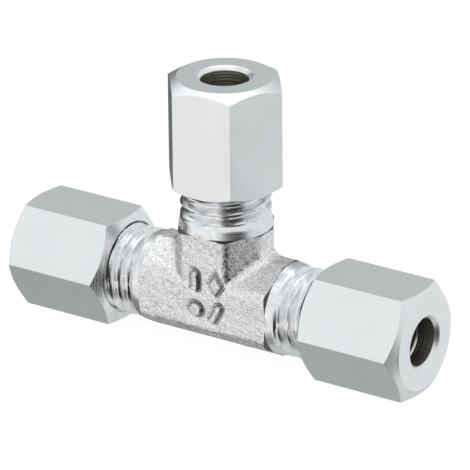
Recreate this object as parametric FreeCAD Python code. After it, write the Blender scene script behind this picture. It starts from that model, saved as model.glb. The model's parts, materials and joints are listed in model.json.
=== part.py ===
import FreeCAD, Part
import math
import os

# Equal tee compression fitting for 6 mm metric tube, in millimetres.
#
# A forged tee body has three equal turned ports. On each port a loose cutting ring sits in the 24 degree
# cone mouth, and a hexagon nut screwed on the port's M12 x 1.5 thread holds it there, finger-tight.
#
# Frame: +X along the run, +Z along the branch, +Y to the back. The origin is on the surface that the
# lower flats of the two run nuts stand on, under the crossing of the axes. Each port is first made in a
# port frame of its own: the crossing of the axes at z = 0, and +z outwards along the port.

os.makedirs("parts", exist_ok=True)

# ---- Driving dimensions --------------------------------------------------------------------------

# Tube that the fitting takes, and what runs over it
tube_d = 6.0
thread_over_tube = 6.0  # the light series of fittings has its thread this much larger than the tube
socket_clearance = 0.10  # on the diameter, in the body
ring_clearance = 0.10  # on the diameter, in the cutting ring
nut_clearance = 0.20  # on the diameter, in the nut
flow_bore_wall = 1.05  # step between the socket wall and the flow bore, where the tube end stops

# Port, from the crossing of the axes outwards
forging_reach = 9.4  # the forged skin ends here
step_length = 0.35  # turned step down from the forging's corners
step_rise = 1.15  # the step starts this far outside the neck, past the forging's corners
step_land = 0.20  # and ends this far outside it
neck_length = 1.15  # plain turned neck, a shallow cone
thread_length = 8.1  # from the neck to the end face
socket_depth = 7.0  # from the end face to the tube stop
cone_depth = 4.7  # length of the cone mouth
cone_half_angle = 12.0

# Forged skin round the ports. All three arms have one section of eight sides.
skin_over_neck = 0.075  # front and back faces stand this far outside the neck
side_over_neck = 0.305  # the narrow bands along the parting line stand this far outside it
face_half_width = 3.5
parting_half_width = 1.5
face_edge_radius = 0.5  # along the front and back faces
parting_edge_radius = 0.6  # along the bands
crotch_radius = 1.8
crotch_end_land = 0.2  # flat left between the crotch's round and the arm's end

# Thread M12 x 1.5, both halves at the loose limits of their 6H/6g tolerances
thread_pitch = 1.5
neck_over_crest = 0.02  # the neck is this much larger in radius than the thread's crests
male_crest_cut = 0.15  # off the nominal diameter
male_pitch_cut = 0.172
female_pitch_growth = 0.190
female_crest_growth = 0.124
female_root_growth = 0.20
male_end_land = 0.975  # flat end face from the cone's mouth to the chamfer at 30 degrees
runout_length = 1.3  # the groove climbs out of the metal over this length, beside the neck

# Cutting ring
ring_length = 9.5
ring_entry = 1.4  # depth of the front edge inside the port's end face
ring_seat_gap = 0.05  # measured square to the cone and to the nut's shoulder
ring_collar_clearance = 0.35  # between the collar and the nut's cavity
ring_sleeve_length = 4.2  # thin front part, to the foot of the collar
ring_taper_over = 0.5  # the front taper runs on this far outside the cone's mouth
ring_groove_depth = 0.25  # reliefs behind the two cutting edges
ring_groove_length = 0.6
ring_edge_land = 0.35
ring_recess_depth = 0.12
ring_recess_length = 1.7
ring_rear_land = 0.09
ring_rear_chamfer = 0.2

# Nut
nut_length = 15.0
nut_wall = 0.9  # thinnest wall, from the thread's root to a flat
nut_face_land = 0.17  # flat end face outside the thread's root circle
nut_chamfer_angle = 30.0
nut_bore_length = 2.1
nut_bore_chamfer = 0.5
nut_cavity_wall = 0.15  # the cavity is this much smaller in radius than the thread's crests
nut_relief_length = 1.4
nut_mouth_land = 0.12  # end face left between the countersink and the outer chamfer
run_hex_turn = 30.0  # first corner's angle about the port, from the port frame's x
branch_hex_turn = 8.0

# Marks standing on the front face, in the port frame of the branch: across, up
mark_height = 0.28
mark_edge_radius = 0.10
mark_width = 1.8
mark_length = 2.8
mark_stroke = 0.85
mark_lean = 28.0
mark_spacing_x = 3.1
mark_spacing_z = 4.0
mark_centre_x = 0.65
mark_centre_z = 1.5

# ---- Sizes that follow ---------------------------------------------------------------------------

port_reach = forging_reach + step_length + neck_length + thread_length
thread_start = port_reach - thread_length
thread_d = tube_d + thread_over_tube

socket_r = (tube_d + socket_clearance) / 2
flow_bore_r = socket_r - flow_bore_wall
cone_slope = math.tan(math.radians(cone_half_angle))
cone_mouth_r = socket_r + cone_depth * cone_slope
tube_stop_z = port_reach - socket_depth
cone_start_z = port_reach - cone_depth

flank_slope = math.tan(math.radians(30.0))
sharp_height = thread_pitch / 2 / flank_slope
nominal_pitch_r = thread_d / 2 - 3 / 8 * sharp_height
male_crest_r = (thread_d - male_crest_cut) / 2
male_pitch_r = nominal_pitch_r - male_pitch_cut / 2
male_root_r = thread_d / 2 - 17 / 24 * sharp_height
female_pitch_r = nominal_pitch_r + female_pitch_growth / 2
female_crest_r = thread_d / 2 - 5 / 8 * sharp_height + female_crest_growth / 2
female_root_r = (thread_d + female_root_growth) / 2

neck_r = male_crest_r + neck_over_crest
side_height = neck_r + side_over_neck
forging_half_depth = neck_r + skin_over_neck

ring_bore_r = (tube_d + ring_clearance) / 2
ring_front_z = port_reach - ring_entry
ring_rear_z = ring_front_z + ring_length

nut_bore_r = (tube_d + nut_clearance) / 2
nut_cavity_r = female_crest_r - nut_cavity_wall
# the shoulder is a 45 degree cone, a seat gap away from the ring's rear cone
ring_rear_outer_r = ring_bore_r + ring_rear_chamfer + ring_rear_land
nut_shoulder_end_z = ring_rear_z + ring_rear_outer_r + ring_seat_gap * math.sqrt(2) - nut_bore_r
nut_shoulder_start_z = nut_shoulder_end_z - (nut_cavity_r - nut_bore_r)
nut_outer_z = nut_shoulder_end_z + nut_bore_length + nut_bore_chamfer
nut_mouth_z = nut_outer_z - nut_length
nut_across_flats = 2 * (female_root_r + nut_wall)
nut_corner_r = nut_across_flats / 2 / math.cos(math.radians(30.0))
nut_face_r = female_root_r + nut_face_land

axis_height = nut_across_flats / 2

# How far cutting and joining shapes run on past the surfaces they meet
overrun = 0.5
ridge_root = 0.15  # depth of a ridge's foot inside its blank
edge_match = 0.01  # how near an edge lies to the plane it is picked by

# ---- Helpers -------------------------------------------------------------------------------------


def V(x, y, z):
    return FreeCAD.Vector(x, y, z)


def outwards(solid):
    return solid if solid.Volume > 0 else solid.reversed()


def revolved(profile, seam=0):
    """Solid of revolution about z, from points (r, z) in order round the section, its seam turned."""
    points = [V(r, 0, z) for r, z in profile]
    face = Part.Face(Part.makePolygon(points + points[:1]))
    solid = outwards(face.revolve(V(0, 0, 0), V(0, 0, 1), 360))
    solid.rotate(V(0, 0, 0), V(0, 0, 1), seam)
    return solid


def prism(points, z0, z1):
    """Solid standing on a closed outline of points (x, y)."""
    outline = [V(x, y, z0) for x, y in points]
    return Part.Face(Part.makePolygon(outline + outline[:1])).extrude(V(0, 0, z1 - z0))


def ridge(inner_r, outer_r, pitch_r, from_z, to_z, inward):
    """Helical ridge of the thread, right-handed, as a solid.

    Its section is a trapezium with 30 degree flanks, half a pitch thick at pitch_r. A port's ridge is
    thinner outwards, a nut's is thinner inwards. The ridges of a port cross the +x side at whole
    pitches from z = 0 and a nut's lie half a pitch from them, so the two always mesh.
    """
    side = 1.0 if inward else -1.0
    phase = 0.5 if inward else 0.0
    start = (math.ceil(from_z / thread_pitch) - phase) * thread_pitch
    corners = []
    for r, way in ((inner_r, -1), (outer_r, -1), (outer_r, 1), (inner_r, 1)):
        half = thread_pitch / 4 + side * (r - pitch_r) * flank_slope
        corners.append(V(r, 0, way * half))
    section = Part.makePolygon(corners + corners[:1])
    path = Part.makeHelix(thread_pitch, to_z - start, pitch_r)
    solid = outwards(Part.Wire(path.Edges).makePipeShell([section], True, True))
    solid.translate(V(0, 0, start))
    return solid


def with_ridge(pieces):
    """A blank joined with its ridge; pieces(seam) gives the two, their seams turned by that angle.

    A boolean with a helix can come out empty where a seam meets the helix badly. So the seams are
    turned until what the ridge adds and what it shares with the blank make up the whole ridge.
    """
    for seam in range(7, 367, 40):
        blank, thread = pieces(seam)
        joined = blank.fuse(thread)
        gained = joined.Volume - blank.Volume
        if not 0.2 * thread.Volume < gained < 0.95 * thread.Volume:
            continue
        shared = blank.common(thread).Volume
        whole = abs(gained + shared - thread.Volume) < 0.01 * thread.Volume
        if whole and joined.isValid() and len(joined.Solids) == 1:
            return joined
    raise RuntimeError("the thread's ridge could not be joined")


PORTS = {
    "right": {"turn": 90, "hex_turn": run_hex_turn},
    "left": {"turn": -90, "hex_turn": run_hex_turn},
    "top": {"turn": 0, "hex_turn": branch_hex_turn},
}


def aimed(shape, port):
    """A shape in the port frame, turned to point along its port."""
    moved = shape.copy()
    moved.rotate(V(0, 0, 0), V(0, 1, 0), PORTS[port]["turn"])
    return moved


def save(shape, name):
    """One sub-part, stood on the surface and written to its own file."""
    stood = shape.copy()
    stood.translate(V(0, 0, axis_height))
    stood.exportStep("parts/" + name + ".step")
    box = stood.BoundBox
    sizes = (box.XMin, box.XMax, box.YMin, box.YMax, box.ZMin, box.ZMax)
    print(name, stood.isValid(), len(stood.Solids), round(stood.Volume, 2), [round(v, 2) for v in sizes])


# ---- Tee body ------------------------------------------------------------------------------------


def arm():
    """Forged arm in the port frame, from the crossing of the axes to the thread.

    Its outline has the bands at the ends of x and the front and back faces at the ends of y. A round
    stretch takes the place of each corner beside a band.
    """
    quarter = [(side_height, parting_half_width), (face_half_width, forging_half_depth)]
    outline = quarter + [(-x, y) for x, y in quarter[::-1]]
    outline += [(-x, -y) for x, y in quarter] + [(x, -y) for x, y in quarter[::-1]]
    rounds = []
    for i, (x, y) in enumerate(outline):
        corner = V(x, y, 0)
        if abs(x) < side_height:
            rounds.append((corner, None, corner))
            continue
        to_last = (V(*outline[i - 1], 0) - corner).normalize()
        to_next = (V(*outline[(i + 1) % len(outline)], 0) - corner).normalize()
        half_angle = to_last.getAngle(to_next) / 2
        trim = parting_edge_radius / math.tan(half_angle)
        sagitta = parting_edge_radius / math.sin(half_angle) - parting_edge_radius
        middle = corner + (to_last + to_next).normalize() * sagitta
        rounds.append((corner + to_last * trim, middle, corner + to_next * trim))
    edges = []
    for i, (first, middle, last) in enumerate(rounds):
        if middle:
            edges.append(Part.Arc(first, middle, last).toShape())
        edges.append(Part.makeLine(last, rounds[(i + 1) % len(rounds)][0]))
    return Part.Face(Part.Wire(edges)).extrude(V(0, 0, thread_start))


def is_crotch(edge):
    """Whether an edge lies where a side of the branch meets the top of the run."""
    box = edge.BoundBox
    inner = face_half_width - edge_match
    outer = side_height + edge_match
    beside = box.XMin > inner or box.XMax < -inner
    above = box.ZMin > inner and box.ZMax < outer
    return beside and above and max(-box.XMin, box.XMax) < outer


def is_face_edge(edge):
    """Whether an edge bounds the front or the back face, away from the arms' ends."""
    box = edge.BoundBox
    at_end = max(box.XMin, -box.XMax, box.ZMin) > thread_start - edge_match
    return min(abs(box.YMin), abs(box.YMax)) > forging_half_depth - edge_match and not at_end


def forging():
    """The forged tee before turning, in the frame of the crossing axes."""
    tee = arm().fuse([aimed(arm(), "right"), aimed(arm(), "left")]).removeSplitter()
    radius = min(crotch_radius, forging_reach - side_height - crotch_end_land)
    tee = tee.makeFillet(radius, [edge for edge in tee.Edges if is_crotch(edge)])
    return tee.makeFillet(face_edge_radius, [edge for edge in tee.Edges if is_face_edge(edge)])


def turning():
    """What the lathe takes off an arm: everything outside the turned step and neck."""
    clear_r = 2 * forging_half_depth
    return revolved([
        (clear_r, forging_reach),
        (neck_r + step_rise, forging_reach),
        (neck_r + step_land, forging_reach + step_length),
        (neck_r, thread_start),
        (neck_r, port_reach),
        (clear_r, port_reach),
    ])


def threaded_end():
    """A port's threaded end in the port frame, from the neck outwards, solid inside.

    The grooves climb out of the metal on a cone beside the neck, as a die leaves them.
    """
    over = 2 * thread_pitch
    thread = ridge(male_root_r - ridge_root, male_crest_r, male_pitch_r,
                   thread_start - thread_pitch, port_reach + thread_pitch, False)

    def pieces(seam):
        blank = revolved([
            (0, thread_start - over),
            (neck_r, thread_start - over),
            (neck_r, thread_start),
            (male_root_r, thread_start + runout_length),
            (male_root_r, port_reach + over),
            (0, port_reach + over),
        ], seam)
        return blank, thread

    clear_r = male_crest_r + overrun
    chamfer_r = cone_mouth_r + male_end_land
    envelope = revolved([
        (0, thread_start),
        (clear_r, thread_start),
        (clear_r, port_reach - (clear_r - chamfer_r) * flank_slope),
        (chamfer_r, port_reach),
        (0, port_reach),
    ])
    return with_ridge(pieces).common(envelope)


def port_hollow():
    """Way through a port: flow bore, tube stop, socket and cone mouth."""
    return revolved([
        (0, 0),
        (flow_bore_r, 0),
        (flow_bore_r, tube_stop_z),
        (socket_r, tube_stop_z),
        (socket_r, cone_start_z),
        (cone_mouth_r + overrun * cone_slope, port_reach + overrun),
        (0, port_reach + overrun),
    ])


def bar():
    """Upright bar with round ends, drawn in x and y."""
    r = mark_stroke / 2
    half = mark_length / 2 - r
    side = Part.makeLine(V(r, -half, 0), V(r, half, 0))
    top = Part.Arc(V(r, half, 0), V(0, half + r, 0), V(-r, half, 0)).toShape()
    other = Part.makeLine(V(-r, half, 0), V(-r, -half, 0))
    foot = Part.Arc(V(-r, -half, 0), V(0, -half - r, 0), V(r, -half, 0)).toShape()
    return Part.Wire([side, top, other, foot])


def lozenge():
    half_width, half_length = mark_width / 2, mark_length / 2
    points = [V(half_width, 0, 0), V(0, half_length, 0), V(-half_width, 0, 0), V(0, -half_length, 0)]
    return Part.makePolygon(points + points[:1])


def disc():
    return Part.Wire([Part.makeCircle(mark_width / 2)])


def marks():
    """Plain raised marks on the front face, two by two: a bar, a lozenge, a disc and a leaning bar."""
    sunk = 0.1
    places = [(-1, 1, bar(), 0), (1, 1, lozenge(), 0), (-1, -1, disc(), 0), (1, -1, bar(), -mark_lean)]
    raised = []
    for side, up, outline, lean in places:
        block = Part.Face(outline).extrude(V(0, 0, mark_height + sunk))
        crown = [edge for edge in block.Edges if edge.BoundBox.ZMin > mark_height]
        block = block.makeFillet(mark_edge_radius, crown)
        block.rotate(V(0, 0, 0), V(0, 0, 1), lean)
        block.rotate(V(0, 0, 0), V(1, 0, 0), 90)
        x = mark_centre_x + side * mark_spacing_x / 2
        z = mark_centre_z + up * mark_spacing_z / 2
        block.translate(V(x, sunk - forging_half_depth, z))
        raised.append(block)
    return raised


def tee_body():
    hollow = port_hollow()
    end = threaded_end().cut(hollow)
    body = forging().cut([aimed(turning(), port) for port in PORTS])
    body = body.cut([aimed(hollow, port) for port in PORTS])
    return body.fuse([aimed(end, port) for port in PORTS] + marks())


# ---- Cutting ring --------------------------------------------------------------------------------


def cutting_ring():
    """Cutting ring in the port frame, finger-tight between the cone mouth and the nut's shoulder.

    Two sharp edges inside its thin front sleeve bite the tube. Its collar stops the bite at the port's
    end face, and its rear cone lies along the nut's shoulder.
    """
    gap = ring_seat_gap / math.cos(math.radians(cone_half_angle))
    front_r = cone_mouth_r - ring_entry * cone_slope - gap
    taper = ring_entry + ring_taper_over
    sleeve_r = front_r + taper * cone_slope
    collar_r = nut_cavity_r - ring_collar_clearance
    collar_z = ring_front_z + ring_sleeve_length
    rear_inner_r = ring_bore_r + ring_rear_chamfer
    first_land = ring_front_z + ring_edge_land
    second_edge = first_land + ring_groove_length
    second_land = second_edge + ring_edge_land
    recess_end = second_land + ring_recess_length
    return revolved([
        (ring_bore_r, ring_front_z),
        (front_r, ring_front_z),
        (sleeve_r, ring_front_z + taper),
        (sleeve_r, collar_z),
        (collar_r, collar_z + (collar_r - sleeve_r) * flank_slope),
        (collar_r, ring_rear_z - (collar_r - ring_rear_outer_r)),
        (ring_rear_outer_r, ring_rear_z),
        (rear_inner_r, ring_rear_z),
        (ring_bore_r, ring_rear_z - ring_rear_chamfer),
        (ring_bore_r, recess_end + ring_recess_depth),
        (ring_bore_r + ring_recess_depth, recess_end),
        (ring_bore_r + ring_recess_depth, second_land + ring_recess_depth),
        (ring_bore_r, second_land),
        (ring_bore_r, second_edge),
        (ring_bore_r + ring_groove_depth, second_edge),
        (ring_bore_r + ring_groove_depth, first_land + ring_groove_depth),
        (ring_bore_r, first_land),
    ])


# ---- Nut -----------------------------------------------------------------------------------------


def nut(hex_turn):
    """Hexagon nut in the port frame, its first corner at hex_turn degrees from x."""
    corners = [math.radians(hex_turn + 60 * k) for k in range(6)]
    hexagon = prism([(nut_corner_r * math.cos(a), nut_corner_r * math.sin(a)) for a in corners],
                    nut_mouth_z, nut_outer_z)
    chamfer_slope = math.tan(math.radians(nut_chamfer_angle))
    clear_r = nut_corner_r + overrun
    chamfer = (clear_r - nut_face_r) * chamfer_slope
    mouth_r = nut_face_r - nut_mouth_land
    thread_end_z = nut_shoulder_start_z - nut_relief_length
    whole_ridge = ridge(female_crest_r, female_root_r + ridge_root, female_pitch_r,
                        nut_mouth_z - thread_pitch, thread_end_z + thread_pitch, True)
    # the ridge keeps inside the countersink and stops in the relief at the thread's end
    outside_r = female_root_r + 2 * ridge_root
    inside_r = female_crest_r - ridge_root
    ridge_end_z = thread_end_z + ridge_root

    def pieces(seam):
        envelope = revolved([
            (0, nut_mouth_z),
            (nut_face_r, nut_mouth_z),
            (clear_r, nut_mouth_z + chamfer),
            (clear_r, nut_outer_z - chamfer),
            (nut_face_r, nut_outer_z),
            (0, nut_outer_z),
        ], seam)
        hollow = revolved([
            (0, nut_mouth_z - overrun),
            (mouth_r + overrun, nut_mouth_z - overrun),
            (female_root_r, nut_mouth_z + mouth_r - female_root_r),
            (female_root_r, thread_end_z),
            (nut_cavity_r, thread_end_z + female_root_r - nut_cavity_r),
            (nut_cavity_r, nut_shoulder_start_z),
            (nut_bore_r, nut_shoulder_end_z),
            (nut_bore_r, nut_outer_z - nut_bore_chamfer),
            (nut_bore_r + nut_bore_chamfer + overrun, nut_outer_z + overrun),
            (0, nut_outer_z + overrun),
        ], seam)
        inside_countersink = revolved([
            (mouth_r, nut_mouth_z),
            (outside_r, nut_mouth_z),
            (outside_r, ridge_end_z),
            (inside_r, ridge_end_z),
            (inside_r, nut_mouth_z + mouth_r - inside_r),
        ], seam)
        return hexagon.common(envelope).cut(hollow), whole_ridge.common(inside_countersink)

    return with_ridge(pieces)


# ---- The fitting ---------------------------------------------------------------------------------

save(tee_body(), "tee_body")
for port, settings in PORTS.items():
    save(aimed(cutting_ring(), port), "cutting_ring_" + port)
    save(aimed(nut(settings["hex_turn"]), port), "nut_" + port)
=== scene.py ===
"""Looks of the tee compression fitting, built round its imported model.

Lengths are in millimetres until a mesh is made. A port frame has its origin where the axes cross and +z
outwards along the port, as in the model's source.
"""
import json
import math

import bmesh
import bpy
import numpy as np
from mathutils import Matrix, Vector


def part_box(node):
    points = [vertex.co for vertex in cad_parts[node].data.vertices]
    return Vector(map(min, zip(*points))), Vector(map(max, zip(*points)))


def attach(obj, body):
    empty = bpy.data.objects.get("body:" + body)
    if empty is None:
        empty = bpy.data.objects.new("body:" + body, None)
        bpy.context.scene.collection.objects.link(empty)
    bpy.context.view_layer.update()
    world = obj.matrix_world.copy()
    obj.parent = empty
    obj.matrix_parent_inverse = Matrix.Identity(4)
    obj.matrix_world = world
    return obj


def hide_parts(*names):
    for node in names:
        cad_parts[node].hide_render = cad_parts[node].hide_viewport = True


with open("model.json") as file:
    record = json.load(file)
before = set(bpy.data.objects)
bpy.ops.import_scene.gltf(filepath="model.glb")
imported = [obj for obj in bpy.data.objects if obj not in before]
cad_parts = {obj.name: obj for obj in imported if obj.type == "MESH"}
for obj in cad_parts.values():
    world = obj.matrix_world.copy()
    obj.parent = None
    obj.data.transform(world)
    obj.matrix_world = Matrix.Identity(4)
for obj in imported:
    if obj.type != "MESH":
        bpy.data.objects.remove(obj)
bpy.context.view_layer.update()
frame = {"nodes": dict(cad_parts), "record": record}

MM = 0.001
TAU = 2 * math.pi
PORTS = ("right", "left", "top")

# ---- Sizes read from the frame -------------------------------------------------------------------

mounts = {mount["name"]: mount for mount in frame["record"]["mounts"]}
socket = mounts["tube_socket_right"]
nut_bore = mounts["nut_bore_right"]


def corners(node):
    """Lowest and highest corner of a node, in millimetres."""
    low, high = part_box(node)
    return np.array(low) / MM, np.array(high) / MM


def span(mount):
    """Where a bore mount's wall starts and ends along its port, in millimetres."""
    middle, length = mount["pos_m"][0] / MM, mount["dims"]["length_mm"]
    return middle - length / 2, middle + length / 2


axis_z = socket["pos_m"][2] / MM
body_low, body_high = corners("tee_body")
nut_low, nut_high = corners("nut_right")
port_reach = body_high[0]
marks_front = body_low[1]
forging_half_depth = body_high[1]
socket_r = socket["dims"]["r_mm"]
tube_stop_z, cone_start_z = span(socket)
nut_bore_r = nut_bore["dims"]["r_mm"]
nut_shoulder_z, nut_bore_end_z = span(nut_bore)
nut_mouth_z, nut_outer_z = nut_low[0], nut_high[0]
nut_corner_r = nut_high[1]
nut_flat_r = nut_corner_r * math.cos(TAU / 12)

# ---- Sizes of the surfaces -----------------------------------------------------------------------

flank_slope = math.tan(TAU / 12)
thread_pitch = 1.5
male_crest_r, male_pitch_r, male_root_r = 5.925, 5.427, 5.08
female_crest_r, female_pitch_r, female_root_r = 5.25, 5.608, 6.10
thread_round = 0.16

# along a port, from the forging to the end face
neck_r = 5.945
forging_reach = 9.4
step_end_z = 9.75
thread_start_z = 10.9
runout_end_z = 12.2
step_top_r = 7.095
step_foot_r = 6.145
end_chamfer_r = 5.025
cone_mouth_r = 4.049
flow_bore_r = 2.0

# how far the lathe cut is carried on into the forging and widened there, the rounding where it leaves
# the forged skin, and the depth of cut that takes the skin's waves away
cut_overrun, cut_flare = 0.2, 2.0
cut_round, cut_blend = 0.1, 0.12

# an arm's eight-sided section, the crotches, and the waves of the skin (height, length)
side_height = 6.25
parting_half_width = 1.5
face_half_width = 3.5
face_round = 0.95
band_round = 0.16
crotch_width = 2.0
crease_width = 0.55
skin_waves = ((0.030, 4.5), (0.013, 1.25), (0.008, 0.60))
skin_sunk = 0.02

# a nut: its flat end face, mouth and ring cavity, its small roundings, and its turn in degrees
nut_face_r = 6.27
nut_mouth_r = 6.15
nut_cavity_r = 5.10
nut_relief = 1.4
hex_corner_round, end_cone_round, face_rim = 0.02, 0.05, 0.035
hex_turns = {"right": 30.0, "left": 30.0, "top": 8.0}

# the raised marks: their size, places and lean in degrees, and how deep the face is sunk round them
mark_height = -marks_front - forging_half_depth
mark_width, mark_length, mark_stroke, mark_lean = 1.8, 2.8, 0.85, 28.0
mark_spacing_x, mark_spacing_z = 3.1, 4.0
mark_centre_x, mark_centre_z = 0.65, 1.5
mark_sunk = 0.22

# ---- Shapes --------------------------------------------------------------------------------------


def soft_min(a, b, width):
    """The lesser of two lengths, rounded off by a parabola where they differ by less than width."""
    overlap = np.clip(width - np.abs(a - b), 0, None)
    return np.minimum(a, b) - overlap * overlap / (4 * width)


def soft_max(a, b, width):
    """The greater of two lengths, rounded as soft_min does."""
    return -soft_min(-a, -b, width)


def smooth(value, low, high):
    """0 below low, 1 above high, and an S curve between."""
    t = np.clip((value - low) / (high - low), 0, 1)
    return t * t * (3 - 2 * t)


def aimed(x, y, z, port):
    """Points of a port frame, turned to their port and lifted to the axis height."""
    way = {"right": (z, y, -x), "left": (-z, y, x), "top": (x, y, z)}[port]
    points = np.stack(np.broadcast_arrays(*way), -1)
    points[..., 2] += axis_z
    return points


def ripples(points, wavelength, seed, waves=48):
    """Band of noise near one wavelength: a sum of cosine waves in random directions, mostly from -1 to 1."""
    rng = np.random.default_rng(seed)
    ways = rng.normal(size=(waves, 3))
    ways /= np.linalg.norm(ways, axis=1)[:, None]
    ways *= (TAU / wavelength * rng.uniform(0.75, 1.3, waves))[:, None]
    total = np.zeros(len(points))
    for way, phase in zip(ways, rng.uniform(0, TAU, waves)):
        total += np.cos(points @ way + phase)
    return total / math.sqrt(waves)


def grid_faces(rows, columns, first=0, loop=False):
    """Quads between neighbouring rows of a grid whose columns close round, and whose rows may."""
    row = np.arange(rows if loop else rows - 1)[:, None]
    column = np.arange(columns)[None, :]
    above, beside = (row + 1) % rows, (column + 1) % columns
    quads = [row * columns + column, row * columns + beside,
             above * columns + beside, above * columns + column]
    return np.stack(quads, -1).reshape(-1, 4) + first


def welded(points, faces):
    """Which points to keep so that no two share a place, and the faces renumbered to match."""
    hair, offset = 1e-4, 0.3137
    keys = np.round(points / hair + offset).astype(np.int64)
    _, first, numbers = np.unique(keys, axis=0, return_index=True, return_inverse=True)
    return first, numbers.ravel()[faces]


def new_piece(name, points, faces, materials, body, node, sharp_angle):
    """A closed mesh from points in millimetres, its faces turned outwards, that stands for a node."""
    mesh = bpy.data.meshes.new(name)
    mesh.from_pydata((points * MM).tolist(), [], faces.tolist())
    for material in materials:
        mesh.materials.append(material)
    made = bmesh.new()
    made.from_mesh(mesh)
    bmesh.ops.recalc_face_normals(made, faces=made.faces)
    made.to_mesh(mesh)
    made.free()
    mesh.shade_smooth()
    mesh.set_sharp_from_angle(angle=math.radians(sharp_angle))
    piece = bpy.data.objects.new(name, mesh)
    bpy.context.scene.collection.objects.link(piece)
    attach(piece, body)
    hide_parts(node)
    return piece


# ---- Tee body ------------------------------------------------------------------------------------

BODY_COLUMNS = 216
COLUMN_GATHER = 0.2  # draws the columns together towards the front and back faces
SKIN_ROWS = 52
BORE_ROWS = 8
THREAD_ROW = 0.135
# finishes of the body's faces; the step's faces take a near-black painted shade
FORGED, TURNED, INNER, SHADED_STEP = range(4)


def section_radius(angle):
    """Distance from an arm's axis to its forged skin: eight flat sides with rounded edges.

    The sides are the bands, the slopes and the faces; the nearest side in each direction is the skin.
    """
    x, y = np.abs(np.cos(angle)), np.abs(np.sin(angle))
    least = 1e-3
    across, along = forging_half_depth - parting_half_width, side_height - face_half_width
    slope = (side_height * across + parting_half_width * along) / (across * x + along * y)
    sides = soft_min(side_height / np.maximum(x, least), slope, band_round)
    return soft_min(sides, forging_half_depth / np.maximum(y, least), face_round)


def turned_radius(z):
    """Radius of the lathe cut along an arm: the step down and the slightly tapered neck.

    Inside the forging the cut flares, so that the skin is whole there.
    """
    stations = (forging_reach - cut_overrun, forging_reach, step_end_z, thread_start_z)
    return np.interp(z, stations, (step_top_r + cut_flare, step_top_r, step_foot_r, neck_r))


def male_thread_radius(angle, z):
    """Right-handed ridge, with 30 degree flanks and rounded crest and root, that runs out beside the neck."""
    turns = z / thread_pitch - angle / TAU
    beside = np.abs(turns - np.round(turns)) * thread_pitch
    flank = male_pitch_r + (thread_pitch / 4 - beside) / flank_slope
    ridge = soft_min(flank, male_crest_r, thread_round)
    root = np.interp(z, (thread_start_z, runout_end_z), (neck_r, male_root_r))
    chamfer = end_chamfer_r + (port_reach - z) / flank_slope
    return soft_min(soft_max(ridge, root, thread_round), chamfer, thread_round / 2)


def corner_path(run, offset, width):
    """A path that comes down one arm and turns out along the next, both at one offset from their axes.

    run is the way from the corner's middle. The corner is a parabola that meets both legs at width.
    """
    inside = np.clip(width - run, 0, None) ** 2 / (4 * width)
    return offset + run + inside, offset + inside


def arm_lines(radius, angle, port, end_z, rows):
    """Lines of a tee's skin along one arm, from where it meets the others out to end_z.

    A line beside another arm starts on the mitre between the two, and a line under the run starts at
    the middle. Also returns how far along the arm each point is.
    """
    x, y = radius * np.cos(angle), radius * np.sin(angle)
    way = {"right": -1, "left": 1, "top": 0}[port]
    mitred = x * way > 0 if way else np.ones_like(x, bool)
    offset = np.abs(x)
    width = np.interp(offset, (0, face_half_width, side_height), (1e-3, crease_width, crotch_width))
    share = np.linspace(0, 1, rows)[:, None]
    along, aside = corner_path(share * (end_z - offset), offset, width)
    z = np.where(mitred, along, share * end_z)
    return aimed(np.where(mitred, np.sign(x) * aside, x), np.broadcast_to(y, z.shape), z, port), z


def lozenge_distance(x, z):
    """Rough distance outside a lozenge, negative inside."""
    half_width, half_length = mark_width / 2, mark_length / 2
    reach = np.abs(x) / half_width + np.abs(z) / half_length - 1
    return reach * half_width * half_length / math.hypot(half_width, half_length)


def bar_distance(x, z, lean):
    """Distance outside a bar with round ends that leans to the right, negative inside."""
    turn = math.radians(lean)
    across = x * math.cos(turn) - z * math.sin(turn)
    along = x * math.sin(turn) + z * math.cos(turn)
    beyond = np.clip(np.abs(along) - (mark_length - mark_stroke) / 2, 0, None)
    return np.hypot(across, beyond) - mark_stroke / 2


def mark_relief(points):
    """Height of the raised marks over the front face, and how much a painted shade darkens the foot of each.

    The marks are a bar, a lozenge, a disc and a leaning bar. Both are smooth functions of the distance
    from the nearest mark's edge: the height falls down the mark's side into a moat and rises to the
    face, and the foot gets a painted shade, dark as if the moat lay in shadow.
    """
    x, z = points[:, 0] - mark_centre_x, points[:, 2] - axis_z - mark_centre_z
    left, right = x + mark_spacing_x / 2, x - mark_spacing_x / 2
    upper, lower = z - mark_spacing_z / 2, z + mark_spacing_z / 2
    distance = np.minimum.reduce([
        bar_distance(left, upper, 0.0),
        lozenge_distance(right, upper),
        np.hypot(left, lower) - mark_width / 2,
        bar_distance(right, lower, mark_lean),
    ])
    side, moat_in, moat_out = (-0.15, 0.12), (-0.05, 0.12), (0.22, 0.60)
    # painted shade: where the dark foot of each mark begins and ends
    foot_in, foot_out = (-0.12, 0.02), (0.08, 0.34)
    standing = mark_height * (1 - smooth(distance, *side))
    sunk = mark_sunk * smooth(distance, *moat_in) * (1 - smooth(distance, *moat_out))
    foot = smooth(distance, *foot_in) * (1 - smooth(distance, *foot_out))
    front = points[:, 1] < 0
    return np.where(front, standing - sunk, 0), np.where(front, foot, 0)


def vertex_normals(points, faces):
    """Unit normals at the points, from the sum of the normals of the faces round each."""
    a, b, c, d = (points[faces[:, k]] for k in range(4))
    normals = np.cross(c - a, d - b)
    total = np.zeros_like(points)
    for k in range(4):
        np.add.at(total, faces[:, k], normals)
    return total / np.maximum(np.linalg.norm(total, axis=1), 1e-12)[:, None]


def keep_values(piece, name, values):
    """Keeps one number for each point in the mesh, for its materials."""
    attribute = piece.data.attributes.new(name, "FLOAT", "POINT")
    attribute.data.foreach_set("value", values.astype(np.float32))


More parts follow.
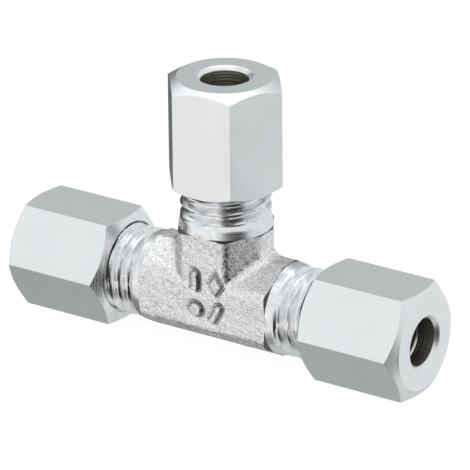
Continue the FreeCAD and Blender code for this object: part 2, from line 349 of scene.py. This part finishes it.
def lathe_stations():
    """Places along a port for the rows of the lathe cut: the step, the neck, then 11 to a turn of thread."""
    return np.concatenate([
        np.linspace(forging_reach - cut_overrun / 2, step_end_z + 0.1, 14),
        np.linspace(step_end_z + 0.3, thread_start_z, 6),
        np.arange(thread_start_z + 0.12, port_reach - 0.02, THREAD_ROW),
        [port_reach],
    ])


def arm_sheet(port, angle, section):
    """One arm's rows, out and back in: forged skin, lathe cut and thread, mouth, tube socket and flow bore.

    For each point it gives its place, how far it is forged skin, from 0 to 1, whether it is on a hollow
    inner face, and its way along the port.
    """
    skin, skin_z = arm_lines(section, angle, port, forging_reach - cut_overrun, SKIN_ROWS)
    z = lathe_stations()[:, None]
    lathe = np.where(z < thread_start_z, turned_radius(z), male_thread_radius(angle, z))
    radius = np.where(z < thread_start_z, soft_min(section + 0 * z, lathe, cut_round), lathe)
    uncut = smooth(lathe - section, 0, cut_blend) * (z < thread_start_z)
    outside = aimed(radius * np.cos(angle), radius * np.sin(angle), z, port)
    mouth = np.array([
        (cone_mouth_r + 0.04, port_reach),
        (cone_mouth_r - 0.02, port_reach - 0.08),
        (socket_r, cone_start_z),
        (socket_r, tube_stop_z),
        (flow_bore_r, tube_stop_z),
    ])
    inside = aimed(mouth[:, :1] * np.cos(angle), mouth[:, :1] * np.sin(angle), mouth[:, 1:], port)
    bore, _ = arm_lines(flow_bore_r + 0 * angle, angle, port, tube_stop_z, BORE_ROWS)
    rows = np.concatenate([skin, outside, inside, bore[-2::-1]])
    inner = np.zeros((len(inside) + len(bore) - 1, BODY_COLUMNS))
    forging = np.concatenate([np.ones(skin.shape[:2]), uncut, inner])
    hollow = np.concatenate([0 * skin_z, 0 * uncut, 1 + inner])
    along = np.concatenate([skin_z, z + 0 * angle, inner])
    return rows.reshape(-1, 3), forging.ravel(), hollow.ravel(), along.ravel()


def make_body(forged, turned, inner, step):
    """Tee body as one closed skin: three arms that meet on mitres.

    The forged skin is pushed along its normals by waves of three lengths, and the marks stand on its
    front face, with a painted shade at their feet. Each face takes the finish of its part: forging, lathe
    cut or inner face, and the step's faces take a near-black painted shade.
    """
    angle = np.arange(BODY_COLUMNS) * TAU / BODY_COLUMNS
    angle = angle + COLUMN_GATHER * np.sin(2 * angle)
    section = section_radius(angle)
    arms = [arm_sheet(port, angle, section) for port in PORTS]
    arm_points = len(arms[0][0])
    arm_rows = arm_points // BODY_COLUMNS
    faces = [grid_faces(arm_rows, BODY_COLUMNS, arm * arm_points) for arm in range(len(arms))]
    points, forging, hollow, along = (np.concatenate(values) for values in zip(*arms))
    first, faces = welded(points, np.concatenate(faces))
    points, forging, hollow, along = (values[first] for values in (points, forging, hollow, along))

    normals = vertex_normals(points, faces)
    outward = np.sum(normals * (points - [0, 0, axis_z]), axis=1).mean() > 0
    normals = normals if outward else -normals
    worn = sum(height * ripples(points, length, seed) for seed, (height, length) in enumerate(skin_waves, 1))
    relief, foot = mark_relief(points)
    points = points + normals * (forging * (worn - skin_sunk))[:, None]
    points[:, 1] -= relief * forging

    piece = new_piece("tee_body_skin", points, faces, [forged, turned, inner, step], "tee",
                      "tee_body", sharp_angle=40)
    finish = np.where(forging[faces].mean(1) < 0.5, TURNED, FORGED)
    finish[hollow[faces].mean(1) > 0.5] = INNER
    way = along[faces].mean(1)
    # painted shade: the step's faces get the near-black material, shade in the corner under the forging
    finish[(finish == TURNED) & (way > forging_reach) & (way < step_end_z)] = SHADED_STEP
    piece.data.polygons.foreach_set("material_index", finish.astype(np.int32))
    keep_values(piece, "along", along)
    # painted shade at the foot of each mark, kept on the mesh for the forged metal's colour
    keep_values(piece, "foot_shade", foot * forging)


# ---- Nuts ----------------------------------------------------------------------------------------

NUT_THREAD_ROW = 0.15
CHAMFER_ROWS, MOUTH_ROWS, MOUTH_CONE_ROWS = 2, 3, 6
PLATED, BARE, MOUTH_CONE = range(3)


def hexagon_radius(angle, hex_turn):
    """Distance from the axis to the flats, from the two nearest of them, with slightly rounded corners."""
    sixth = TAU / 6
    from_corner = np.mod(angle - math.radians(hex_turn) + sixth / 2, sixth) - sixth / 2
    one = nut_flat_r / np.cos(sixth / 2 - from_corner)
    other = nut_flat_r / np.cos(sixth / 2 + from_corner)
    return soft_min(one, other, hex_corner_round)


def hexagon_angles(hex_turn):
    """Angles round a nut, close together at the corners and even between them."""
    near = np.radians([0.0, 0.35, 0.7, 1.05, 1.5, 2.2, 3.2])
    between = np.radians(np.linspace(5, 30, 8))
    half = np.concatenate([near, between])
    sector = np.concatenate([half, TAU / 6 - half[-2:0:-1]])
    return np.concatenate([sector + k * TAU / 6 for k in range(6)]) + math.radians(hex_turn)


def female_thread_radius(angle, z):
    """The nut's thread: its ridge points inwards and lies half a pitch from the port's."""
    turns = z / thread_pitch - angle / TAU - 0.5
    beside = np.abs(turns - np.round(turns)) * thread_pitch
    flank = female_pitch_r + (beside - thread_pitch / 4) / flank_slope
    groove = soft_min(soft_max(flank, female_crest_r, thread_round / 2), female_root_r, thread_round / 2)
    return soft_max(groove, nut_mouth_r - (z - nut_mouth_z), thread_round / 2)


def nut_outside(hexagon):
    """Radii and distances from the end, in rows from an end face to the middle of the nut.

    The 30 degree end cone cuts the hexagon along curves, and the rows follow those curves.
    """
    crossing = (hexagon - nut_face_r) * flank_slope
    middle = (nut_outer_z - nut_mouth_z) / 2
    past_crossing = (-0.045, -0.02, 0.0, 0.02, 0.05, 0.11)
    depths = [crossing * share for share in (0.0, 0.3, 0.6, 0.85)]
    depths += [crossing + past for past in past_crossing]
    last = crossing + past_crossing[-1]
    depths += [last + (middle - last) * share for share in (0.25, 0.5, 0.75, 1.0)]
    depths = np.sort(np.array(depths), axis=0)
    radius = soft_min(nut_face_r + depths / flank_slope, hexagon + 0 * depths, end_cone_round)
    level = 0 * hexagon
    rim_r = np.stack([level + nut_face_r - face_rim, level + nut_face_r + face_rim / 2])
    rim_depth = np.stack([level, level + face_rim])
    return np.concatenate([rim_r, radius[1:]]), np.concatenate([rim_depth, depths[1:]])


def nut_bore_profile():
    """Radii and places along the port, from the outer face in: chamfer, bore, shoulder and ring cavity."""
    chamfer_r = nut_bore_r + nut_outer_z - nut_bore_end_z
    cavity_z = nut_shoulder_z - (nut_cavity_r - nut_bore_r)
    return np.array([
        (chamfer_r + 0.6, nut_outer_z),
        (chamfer_r + 0.05, nut_outer_z),
        (chamfer_r - 0.03, nut_outer_z - 0.04),
        (nut_bore_r + 0.04, nut_bore_end_z + 0.02),
        (nut_bore_r, nut_bore_end_z - 0.06),
        (nut_bore_r, nut_bore_end_z - 0.7),
        (nut_bore_r, nut_shoulder_z),
        (nut_cavity_r, cavity_z),
        (nut_cavity_r, cavity_z - nut_relief + female_root_r - nut_cavity_r),
    ])


def make_nut(port, plated, inner, turned):
    """Hexagon nut as one closed skin, its section carried round: outside, end face, bore and thread.

    Its inner faces are bare metal, and the cone at its mouth is turned.
    """
    angle = hexagon_angles(hex_turns[port])
    radius, depth = nut_outside(hexagon_radius(angle, hex_turns[port]))
    bore = nut_bore_profile()
    thread_end_z = nut_shoulder_z - (nut_cavity_r - nut_bore_r) - nut_relief
    thread_z = np.append(np.arange(thread_end_z, nut_mouth_z, -NUT_THREAD_ROW), nut_mouth_z)[:, None]
    radii = np.concatenate([radius, radius[-2::-1], bore[:, :1] + 0 * angle,
                            female_thread_radius(angle, thread_z)])
    z = np.concatenate([nut_mouth_z + depth, nut_outer_z - depth[-2::-1], bore[:, 1:] + 0 * angle,
                        thread_z + 0 * angle])
    points = aimed(radii * np.cos(angle), radii * np.sin(angle), z, port).reshape(-1, 3)
    faces = grid_faces(len(radii), len(angle), loop=True)
    piece = new_piece("hexagon_nut_" + port, points, faces, [plated, inner, turned], port + "_nut",
                      "nut_" + port, sharp_angle=24)
    row = np.arange(len(faces)) // len(angle)
    outside_rows = 2 * len(radius) - 1
    bare = (row > outside_rows + CHAMFER_ROWS) & (row < len(radii) - MOUTH_ROWS)
    finish = np.where(bare, BARE, PLATED).astype(np.int32)
    finish[row < MOUTH_CONE_ROWS] = MOUTH_CONE
    piece.data.polygons.foreach_set("material_index", finish)
    keep_values(piece, "along", z.ravel())


# ---- Materials -----------------------------------------------------------------------------------


def link(tree, out, into):
    """Joins one node's output to another's input."""
    tree.links.new(out, into)


def group(name, inputs, outputs):
    """An empty shader node group with number inputs (name, value) and number outputs."""
    tree = bpy.data.node_groups.new(name, "ShaderNodeTree")
    for label, value in inputs:
        made = tree.interface.new_socket(label, in_out="INPUT", socket_type="NodeSocketFloat")
        made.default_value = value
    for label in outputs:
        tree.interface.new_socket(label, in_out="OUTPUT", socket_type="NodeSocketFloat")
    return tree, tree.nodes.new("NodeGroupInput"), tree.nodes.new("NodeGroupOutput")


def node(tree, kind, **settings):
    """A node with its properties and, by socket name or number, its input values set."""
    made = tree.nodes.new("ShaderNode" + kind)
    for name, value in settings.items():
        if name == "inputs":
            for socket_name, number in value.items():
                made.inputs[socket_name].default_value = number
        else:
            setattr(made, name, value)
    return made


def cast_grain_group():
    """Grain of a surface at two sizes: a height for bump and a tone for colour and gloss."""
    tree, given, made = group("cast_grain", [("Coarse", 1.0), ("Fine", 4.0), ("Fine Share", 0.4)],
                              ["Height", "Tone"])
    place = node(tree, "TexCoord")
    coarse = node(tree, "TexNoise", inputs={"Detail": 3.0, "Roughness": 0.6, "Distortion": 0.6})
    fine = node(tree, "TexNoise", inputs={"Detail": 2.0, "Roughness": 0.55})
    for texture, size in ((coarse, "Coarse"), (fine, "Fine")):
        link(tree, place.outputs["Object"], texture.inputs["Vector"])
        link(tree, given.outputs[size], texture.inputs["Scale"])
    mixed = node(tree, "Mix")
    link(tree, given.outputs["Fine Share"], mixed.inputs["Factor"])
    link(tree, coarse.outputs["Fac"], mixed.inputs["A"])
    link(tree, fine.outputs["Fac"], mixed.inputs["B"])
    link(tree, mixed.outputs["Result"], made.inputs["Height"])
    link(tree, coarse.outputs["Fac"], made.inputs["Tone"])
    return tree


def edge_highlight_group():
    """Where the surface turns outwards sharply: a mask for a painted highlight on the edges."""
    tree, given, made = group("edge_highlight", [("From", 0.52), ("To", 0.62)], ["Mask"])
    geometry = node(tree, "NewGeometry")
    spread = node(tree, "MapRange")
    link(tree, geometry.outputs["Pointiness"], spread.inputs["Value"])
    link(tree, given.outputs["From"], spread.inputs["From Min"])
    link(tree, given.outputs["To"], spread.inputs["From Max"])
    link(tree, spread.outputs["Result"], made.inputs["Mask"])
    return tree


def tool_marks_group():
    """Fine rings left by the lathe: noise along the port alone, from the mesh's own record of that way."""
    tree, given, made = group("tool_marks", [("Rings Per Mm", 3.0)], ["Height"])
    way = node(tree, "Attribute", attribute_name="along")
    rings = node(tree, "TexNoise", noise_dimensions="1D", inputs={"Detail": 3.0, "Roughness": 0.7})
    link(tree, way.outputs["Fac"], rings.inputs["W"])
    link(tree, given.outputs["Rings Per Mm"], rings.inputs["Scale"])
    link(tree, rings.outputs["Fac"], made.inputs["Height"])
    return tree


TONE_RANGE = (0.3, 0.7)
# painted highlight screened over sharp edges
EDGE_HIGHLIGHT_COLOUR = (0.25, 0.25, 0.25, 1)
# painted shade laid at the foot of the raised marks
FOOT_SHADE_COLOUR = (0.16, 0.16, 0.16, 1)

cast_grain = cast_grain_group()
edge_highlight = edge_highlight_group()
tool_marks = tool_marks_group()


def metal(name, light, dark, roughness, spread, grain, bump, rings=None, foot_shaded=False):
    """Metal whose colour and gloss wander with a grain, with a painted highlight on its sharp edges and the
    grain in relief.

    grain is the coarse and fine scales and the fine share, bump a strength and a height, and rings, for
    turned metal, the tool marks to a millimetre, their strength and their height. Metal that asks for it
    is darkened by the mesh's own values, a painted shade at the foot of the marks.
    """
    material = bpy.data.materials.new(name)
    material.use_nodes = True
    tree = material.node_tree
    shader = tree.nodes["Principled BSDF"]
    shader.inputs["Metallic"].default_value = 1.0
    grains = node(tree, "Group", node_tree=cast_grain)
    for label, value in zip(("Coarse", "Fine", "Fine Share"), grain):
        grains.inputs[label].default_value = value
    edge_glint = node(tree, "Group", node_tree=edge_highlight)
    tone = node(tree, "MapRange", inputs={"From Min": TONE_RANGE[0], "From Max": TONE_RANGE[1]})
    link(tree, grains.outputs["Tone"], tone.inputs["Value"])
    shade = node(tree, "Mix", data_type="RGBA")
    shade.inputs["A"].default_value = (*dark, 1)
    shade.inputs["B"].default_value = (*light, 1)
    link(tree, tone.outputs["Result"], shade.inputs["Factor"])
    # painted highlight: the edge mask screens a pale grey over the colour
    colour = node(tree, "Mix", data_type="RGBA", blend_type="SCREEN")
    colour.inputs["B"].default_value = EDGE_HIGHLIGHT_COLOUR
    link(tree, edge_glint.outputs["Mask"], colour.inputs["Factor"])
    link(tree, shade.outputs["Result"], colour.inputs["A"])
    # painted shade: darkens the colour at the foot of the marks by the mesh's own values
    if foot_shaded:
        foot_shade = node(tree, "Attribute", attribute_name="foot_shade")
        unshaded, colour = colour, node(tree, "Mix", data_type="RGBA")
        colour.inputs["B"].default_value = FOOT_SHADE_COLOUR
        link(tree, foot_shade.outputs["Fac"], colour.inputs["Factor"])
        link(tree, unshaded.outputs["Result"], colour.inputs["A"])
    link(tree, colour.outputs["Result"], shader.inputs["Base Color"])
    gloss = node(tree, "MapRange", inputs={"To Min": roughness + spread, "To Max": roughness - spread})
    link(tree, tone.outputs["Result"], gloss.inputs["Value"])
    link(tree, gloss.outputs["Result"], shader.inputs["Roughness"])
    relief = node(tree, "Bump", inputs={"Strength": bump[0], "Distance": bump[1]})
    link(tree, grains.outputs["Height"], relief.inputs["Height"])
    link(tree, relief.outputs["Normal"], shader.inputs["Normal"])
    if rings:
        per_mm, strength, height = rings
        marks = node(tree, "Group", node_tree=tool_marks)
        marks.inputs["Rings Per Mm"].default_value = per_mm
        ringed = node(tree, "Bump", inputs={"Strength": strength, "Distance": height})
        link(tree, marks.outputs["Height"], ringed.inputs["Height"])
        link(tree, ringed.outputs["Normal"], relief.inputs["Normal"])
    return material


# ---- Light, floor and camera ---------------------------------------------------------------------


# Each soft panel or dark flag of the studio: its direction, the degrees from it where it begins and is
# full, and the factor on the light's strength outside and inside it.
STUDIO = (
    ((-0.30, -0.88, -0.20), 100, 25, 0.86, 0.98),  # front, the palest side
    ((-0.51, -0.72, 0.50), 30, 10, 1.0, 0.93),     # front left, high
    ((-0.30, 0.10, 0.95), 48, 12, 1.0, 1.6),       # bright panel overhead
    ((-0.51, -0.28, 0.82), 20, 8, 1.0, 0.45),      # flag at the panel's left front
    ((0.75, -0.53, -0.40), 41, 26, 1.0, 0.02),     # black flag on the right, low
    ((-0.45, -0.42, -0.79), 28, 8, 1.0, 0.35),     # flag under the left front
    ((-0.3, 0.2, -1.0), 60, 20, 1.0, 0.70),        # straight down
    ((-0.50, 0.76, 0.38), 42, 15, 1.0, 0.56),      # behind, to the left
    ((-0.92, 0.30, -0.25), 45, 28, 1.0, 0.10),     # dark flag on the left
)
WARM_SIDE = ((-0.28, -0.87, -0.40), 40, 15, 0.0, 1.0)
COOL_TINT, WARM_TINT = (0.97, 0.99, 1.0, 1), (1.02, 1.01, 1.0, 1)


def lobe(tree, place, way, far, near, low, high):
    """A factor that goes from low, far degrees off a direction, to high, near degrees off it."""
    length = math.sqrt(sum(c * c for c in way))
    toward = node(tree, "VectorMath", operation="DOT_PRODUCT")
    toward.inputs[1].default_value = [c / length for c in way]
    link(tree, place.outputs["Generated"], toward.inputs[0])
    start, full = math.cos(math.radians(far)), math.cos(math.radians(near))
    spread = node(tree, "MapRange", interpolation_type="SMOOTHSTEP",
                  inputs={"From Min": start, "From Max": full, "To Min": low, "To Max": high})
    link(tree, toward.outputs["Value"], spread.inputs["Value"])
    return spread.outputs["Result"]


def make_world():
    """Soft studio round the object, seen in the metal only: the product of its panels. The rest is white."""
    world = bpy.data.worlds.new("studio")
    bpy.context.scene.world = world
    world.use_nodes = True
    tree = world.node_tree
    tree.nodes.clear()
    place = node(tree, "TexCoord")
    factors = [lobe(tree, place, *panel) for panel in STUDIO]
    total = factors[0]
    for factor in factors[1:]:
        times = node(tree, "Math", operation="MULTIPLY")
        link(tree, total, times.inputs[0])
        link(tree, factor, times.inputs[1])
        total = times.outputs["Value"]
    tint = node(tree, "Mix", data_type="RGBA")
    tint.inputs["A"].default_value = COOL_TINT
    tint.inputs["B"].default_value = WARM_TINT
    link(tree, lobe(tree, place, *WARM_SIDE), tint.inputs["Factor"])
    studio = node(tree, "Background")
    link(tree, tint.outputs["Result"], studio.inputs["Color"])
    link(tree, total, studio.inputs["Strength"])
    plain = node(tree, "Background", inputs={"Color": (1, 1, 1, 1), "Strength": 1.0})
    rays = node(tree, "LightPath")
    chosen = node(tree, "MixShader")
    link(tree, rays.outputs["Is Camera Ray"], chosen.inputs[0])
    link(tree, studio.outputs["Background"], chosen.inputs[1])
    link(tree, plain.outputs["Background"], chosen.inputs[2])
    link(tree, chosen.outputs["Shader"], node(tree, "OutputWorld").inputs["Surface"])


def make_floor():
    """Plain pale floor a hair under the object. It takes shadows, and stays out of the reflections."""
    half, below = 1.5, -0.00005
    grey, glow = 0.15, 0.93
    mesh = bpy.data.meshes.new("floor")
    mesh.from_pydata([(-half, -half, below), (half, -half, below), (half, half, below), (-half, half, below)],
                     [], [(0, 1, 2, 3)])
    material = bpy.data.materials.new("pale_floor")
    material.use_nodes = True
    shader = material.node_tree.nodes["Principled BSDF"]
    shader.inputs["Base Color"].default_value = (grey, grey, grey, 1)
    shader.inputs["Roughness"].default_value = 1.0
    shader.inputs["Specular IOR Level"].default_value = 0.0
    shader.inputs["Emission Color"].default_value = (1, 1, 1, 1)
    shader.inputs["Emission Strength"].default_value = glow
    mesh.materials.append(material)
    floor = bpy.data.objects.new("floor", mesh)
    bpy.context.scene.collection.objects.link(floor)
    floor.visible_glossy = False


def make_light(name, way, distance, size, power):
    """Square soft light that looks at the object from a direction. Lengths are in metres, power in watts."""
    data = bpy.data.lights.new(name, "AREA")
    data.size = size
    data.energy = power
    light = bpy.data.objects.new(name, data)
    bpy.context.scene.collection.objects.link(light)
    back = np.array(way) / np.linalg.norm(way)
    side = np.cross((0, 0, 1), back)
    side /= np.linalg.norm(side)
    turn = np.eye(4)
    turn[:3, :3] = np.stack([side, np.cross(back, side), back], 1)
    turn[:3, 3] = back * distance + [0, 0, axis_z * MM]
    light.matrix_world = Matrix(turn)


def make_camera():
    """Long lens, up to the right of the front, aimed a little behind and above where the axes cross."""
    azimuth, elevation, roll = (math.radians(a) for a in (33.79, 23.33, -0.60))
    distance, lens, sensor = 0.646, 382.6, 36
    target = np.array([-0.66, 2.99, 6.71 + axis_z]) * MM
    back = np.array([math.sin(azimuth) * math.cos(elevation), -math.cos(azimuth) * math.cos(elevation),
                     math.sin(elevation)])
    level = np.array([math.cos(azimuth), math.sin(azimuth), 0])
    upright = np.cross(back, level)
    right = math.cos(roll) * level + math.sin(roll) * upright
    turn = np.eye(4)
    turn[:3, :3] = np.stack([right, np.cross(back, right), back], 1)
    turn[:3, 3] = target + back * distance
    data = bpy.data.cameras.new("camera")
    data.sensor_width = sensor
    data.lens = lens
    data.clip_start, data.clip_end = 0.01, 20
    camera = bpy.data.objects.new("camera", data)
    bpy.context.scene.collection.objects.link(camera)
    camera.matrix_world = Matrix(turn)
    bpy.context.scene.camera = camera


# ---- The fitting ---------------------------------------------------------------------------------

# the forged skin takes the painted shade at the foot of the marks
forged = metal("forged_zinc", light=(1.0, 1.0, 1.0), dark=(0.57, 0.57, 0.58),
               roughness=0.16, spread=0.06, grain=(3300, 6200, 0.25), bump=(1.0, 0.00011), foot_shaded=True)
turned = metal("turned_zinc", light=(0.89, 0.90, 0.91), dark=(0.74, 0.75, 0.76),
               roughness=0.22, spread=0.05, grain=(900, 3500, 0.6), bump=(0.45, 0.00003),
               rings=(3.0, 0.8, 0.00004))
inner = metal("drilled_steel", light=(0.42, 0.39, 0.34), dark=(0.28, 0.26, 0.22),
              roughness=0.34, spread=0.06, grain=(500, 2600, 0.5), bump=(0.2, 0.00002),
              rings=(3.0, 1.0, 0.00010))
# painted shade: a near-black colour for the step's faces, the corner in shadow under the forging
step = metal("step_painted_shade", light=(0.16, 0.17, 0.17), dark=(0.08, 0.08, 0.08),
             roughness=0.34, spread=0.06, grain=(900, 3500, 0.6), bump=(0.4, 0.00003))
satin = metal("satin_zinc", light=(0.86, 0.885, 0.89), dark=(0.83, 0.855, 0.86),
              roughness=0.36, spread=0.02, grain=(220, 2600, 0.5), bump=(0.05, 0.00001))
ring_steel = metal("ring_steel", light=(0.78, 0.76, 0.72), dark=(0.68, 0.66, 0.62),
                   roughness=0.30, spread=0.05, grain=(500, 2500, 0.5), bump=(0.1, 0.00001))

make_body(forged, turned, inner, step)
for port in PORTS:
    make_nut(port, satin, inner, turned)
    ring = frame["nodes"]["cutting_ring_" + port]
    ring.data.materials.clear()
    ring.data.materials.append(ring_steel)

make_world()
make_floor()
make_light("key", (-0.5, -0.75, 0.9), 0.6, 0.35, 0.05)
make_light("overhead", (0.05, 0.2, 1.0), 0.7, 0.6, 0.2)
make_camera()
bpy.context.scene.view_settings.view_transform = "Standard"
